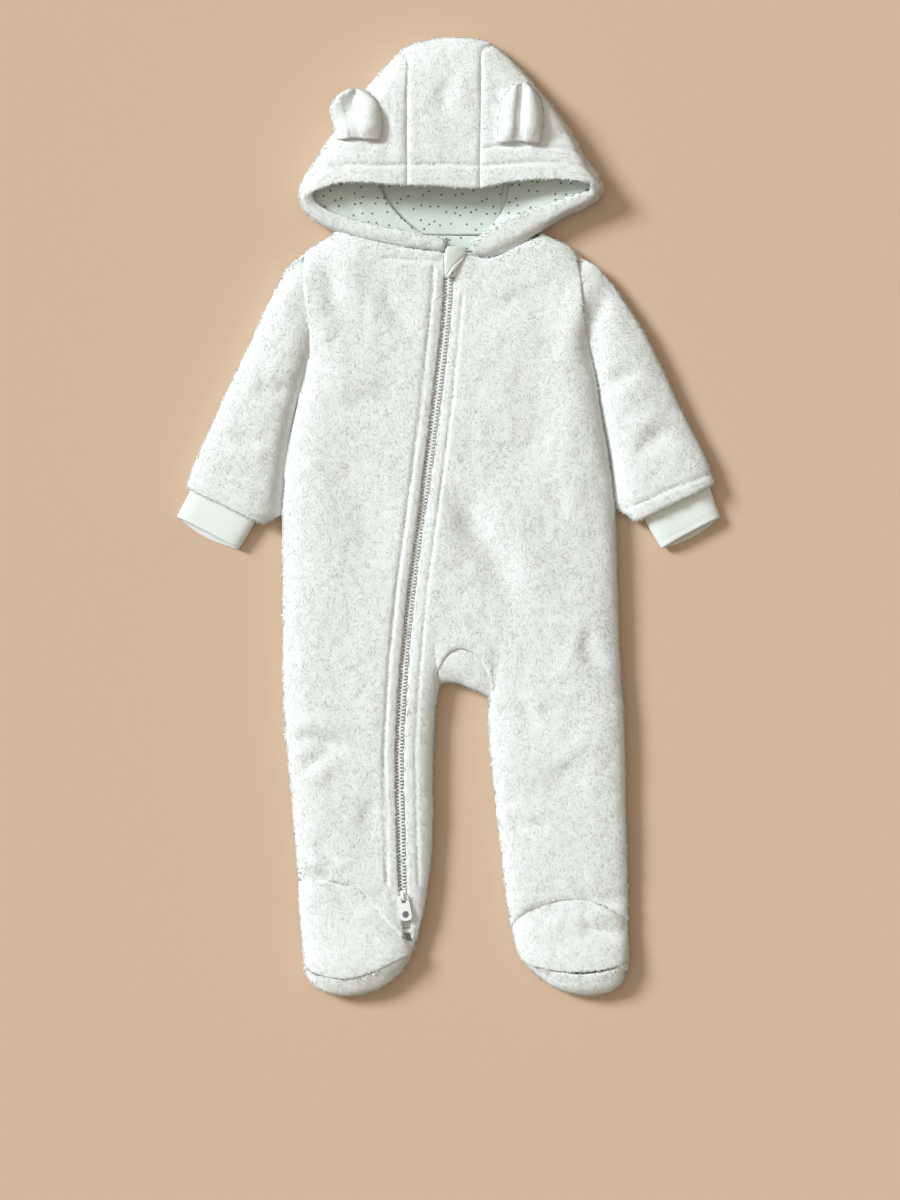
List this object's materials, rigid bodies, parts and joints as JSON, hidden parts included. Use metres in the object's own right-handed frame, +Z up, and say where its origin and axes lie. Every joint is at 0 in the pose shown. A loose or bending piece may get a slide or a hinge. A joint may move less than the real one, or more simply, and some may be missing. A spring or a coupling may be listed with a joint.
{
  "type": "footed baby sleepsuit",
  "caption": "Hooded long-sleeved baby sleepsuit in long-pile fleece with bear ears, closed feet, jersey cuffs and a diagonal zip from chin to ankle, laid flat.",
  "frame": {"origin": "centre of the bounding box at the surface that the garment lies on", "axes": "+Z up out of the front of the garment, +Y from the feet to the hood, +X to the right of someone who looks down at the front"},
  "size_m": [0.4346, 0.7667, 0.036],
  "materials": {
    "fleece": "long soft pile, matt",
    "jersey": "smooth knitted jersey, matt",
    "dotted_jersey": "smooth knitted jersey printed with small dark dots",
    "zip_plastic": "moulded white plastic, satin",
    "zip_tape": "woven white tape, matt"
  },
  "bodies": {
    "garment": {"back": "fleece", "front_left": "fleece", "front_right": "fleece", "crotch_gusset": "fleece", "sleeve_left": "fleece", "sleeve_right": "fleece", "cuff_left": "jersey", "cuff_right": "jersey", "foot_top_left": "fleece", "foot_top_right": "fleece", "sole_left": "fleece", "sole_right": "fleece", "hood_side_left": "fleece", "hood_side_right": "fleece", "hood_centre": "fleece", "hood_lining_left": "dotted_jersey", "hood_lining_right": "dotted_jersey", "hood_lining_back": "dotted_jersey", "ear_left": "fleece", "ear_right": "fleece", "neck_facing": "dotted_jersey", "neck_label": "jersey", "chin_guard": "jersey", "zip_tape_left": "zip_tape", "zip_tape_right": "zip_tape", "zip_chain": "zip_plastic", "zip_stop": "zip_plastic", "lower_slider": "zip_plastic", "upper_slider": "zip_plastic", "upper_pull": "zip_plastic"},
    "pull_tab": {"lower_pull": "zip_plastic"}
  },
  "joints": [
    {"name": "pull_tab_lift", "type": "hinge", "parent": "garment", "child": "pull_tab", "pos_m": [-0.0363, -0.3004, 0.01609], "axis": [-0.9877, -0.1564, 0], "range_deg": [0, 170]}
  ]
}
